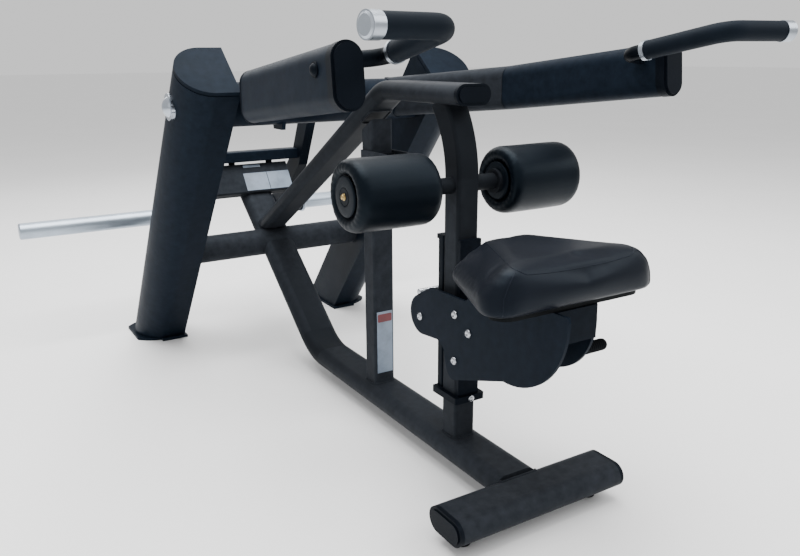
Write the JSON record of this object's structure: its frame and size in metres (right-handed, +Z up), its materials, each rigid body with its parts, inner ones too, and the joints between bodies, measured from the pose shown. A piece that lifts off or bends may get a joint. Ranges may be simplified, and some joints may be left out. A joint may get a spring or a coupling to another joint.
{
  "type": "plate-loaded seated dip machine",
  "caption": "Seated dip machine: hinged press arm with bent handles and plate horns, thigh rollers, and a sliding saddle seat on a welded tube frame.",
  "frame": {"origin": "on the floor, below the middle of the machine's outline", "axes": "+Z up, -Y the end with the seat and handles, +X the right hand of a user who sits facing the pivot"},
  "size_m": [1.348, 1.7801, 0.907],
  "materials": {
    "frame_paint": "satin powder coat, warm charcoal",
    "dark_paint": "satin powder coat, blue-black",
    "black_paint": "satin black paint",
    "plug_plastic": "moulded plastic, satin",
    "foot_rubber": "moulded rubber, matt",
    "grip_rubber": "foamed rubber, matt",
    "wheel_plastic": "hard plastic, satin",
    "hub_plastic": "moulded plastic, semi-gloss",
    "board_wood": "painted board, matt",
    "vinyl": "black upholstery vinyl, soft sheen",
    "foam_cover": "black vinyl over foam, soft sheen",
    "horn_steel": "brushed zinc plate",
    "shaft_steel": "ground steel",
    "bush_metal": "machined bronze",
    "dome_chrome": "polished chrome",
    "trim_aluminium": "turned aluminium",
    "bolt_steel": "zinc plated",
    "label_film": "blank film label"
  },
  "bodies": {
    "frame": {"front_foot": "frame_paint", "tube_plugs": "plug_plastic", "rubber_feet": "foot_rubber", "spine": "frame_paint", "spine_rear": "frame_paint", "post": "frame_paint", "post_bracket": "frame_paint", "top_tube": "frame_paint", "seat_column": "frame_paint", "leg_left": "dark_paint", "leg_right": "dark_paint", "leg_caps": "dark_paint", "foot_plates": "dark_paint", "rear_cross_tube": "frame_paint", "stop_beam": "frame_paint", "stop_pads": "foot_rubber", "blank_labels": "label_film", "pivot_shaft": "shaft_steel", "pivot_bearings": "shaft_steel", "pivot_domes": "dome_chrome", "roller_bar": "frame_paint", "guide_rails": "black_paint", "rail_brackets": "black_paint", "frame_bolts": "bolt_steel"},
    "press_arm": {"pivot_beam": "dark_paint", "beam_bushes": "bush_metal", "arm_left": "dark_paint", "arm_right": "dark_paint", "limb_left": "frame_paint", "limb_right": "frame_paint", "arm_caps": "plug_plastic", "arm_bolts": "plug_plastic", "handle_left": "black_paint", "handle_right": "black_paint", "grip_left": "grip_rubber", "grip_right": "grip_rubber", "grip_collars": "trim_aluminium", "grip_end_caps": "trim_aluminium", "weight_lever_left": "dark_paint", "weight_lever_right": "dark_paint", "stop_crossbar": "dark_paint", "limb_gussets": "dark_paint", "horn_left": "horn_steel", "horn_right": "horn_steel", "horn_collars": "horn_steel"},
    "seat_carriage": {"carriage_plate_left": "dark_paint", "carriage_plate_right": "dark_paint", "carriage_bridge": "black_paint", "guide_wheels": "wheel_plastic", "carriage_bolts": "bolt_steel", "seat_board": "board_wood", "seat_pad": "vinyl"},
    "release_lever": {"release_lever": "black_paint", "lever_grip": "foot_rubber"},
    "lock_plunger": {"lock_plunger": "shaft_steel"},
    "roller_left": {"roller_foam_left": "foam_cover", "roller_hubs_left": "hub_plastic"},
    "roller_right": {"roller_foam_right": "foam_cover", "roller_hubs_right": "hub_plastic"}
  },
  "joints": [
    {"name": "arm_pivot", "type": "hinge", "parent": "frame", "child": "press_arm", "pos_m": [0, 0.10081, 0.742], "axis": [1, 0, 0], "range_deg": [0, 25]},
    {"name": "seat_height", "type": "slide", "parent": "frame", "child": "seat_carriage", "axis": [0, 0, 1], "range_m": [-0.04, 0.06]},
    {"name": "seat_release", "type": "hinge", "parent": "seat_carriage", "child": "release_lever", "pos_m": [0, -0.704, 0.322], "axis": [1, 0, 0], "range_deg": [-12, 0], "stiffness_Nm_per_rad": 2, "springref_deg": 11.46},
    {"name": "plunger_slide", "type": "slide", "parent": "seat_carriage", "child": "lock_plunger", "axis": [0, -1, 0], "range_m": [0, 0.008], "stiffness_N_per_m": 300, "springref_m": -0.004},
    {"name": "roller_left_spin", "type": "hinge", "parent": "frame", "child": "roller_left", "pos_m": [-0.17, -0.497, 0.611], "axis": [1, 0, 0], "continuous": true},
    {"name": "roller_right_spin", "type": "hinge", "parent": "frame", "child": "roller_right", "pos_m": [0.17, -0.497, 0.611], "axis": [1, 0, 0], "continuous": true}
  ],
  "couplings": [
    {"joint": "plunger_slide", "follows": "seat_release", "m_per_rad": -0.0382}
  ]
}
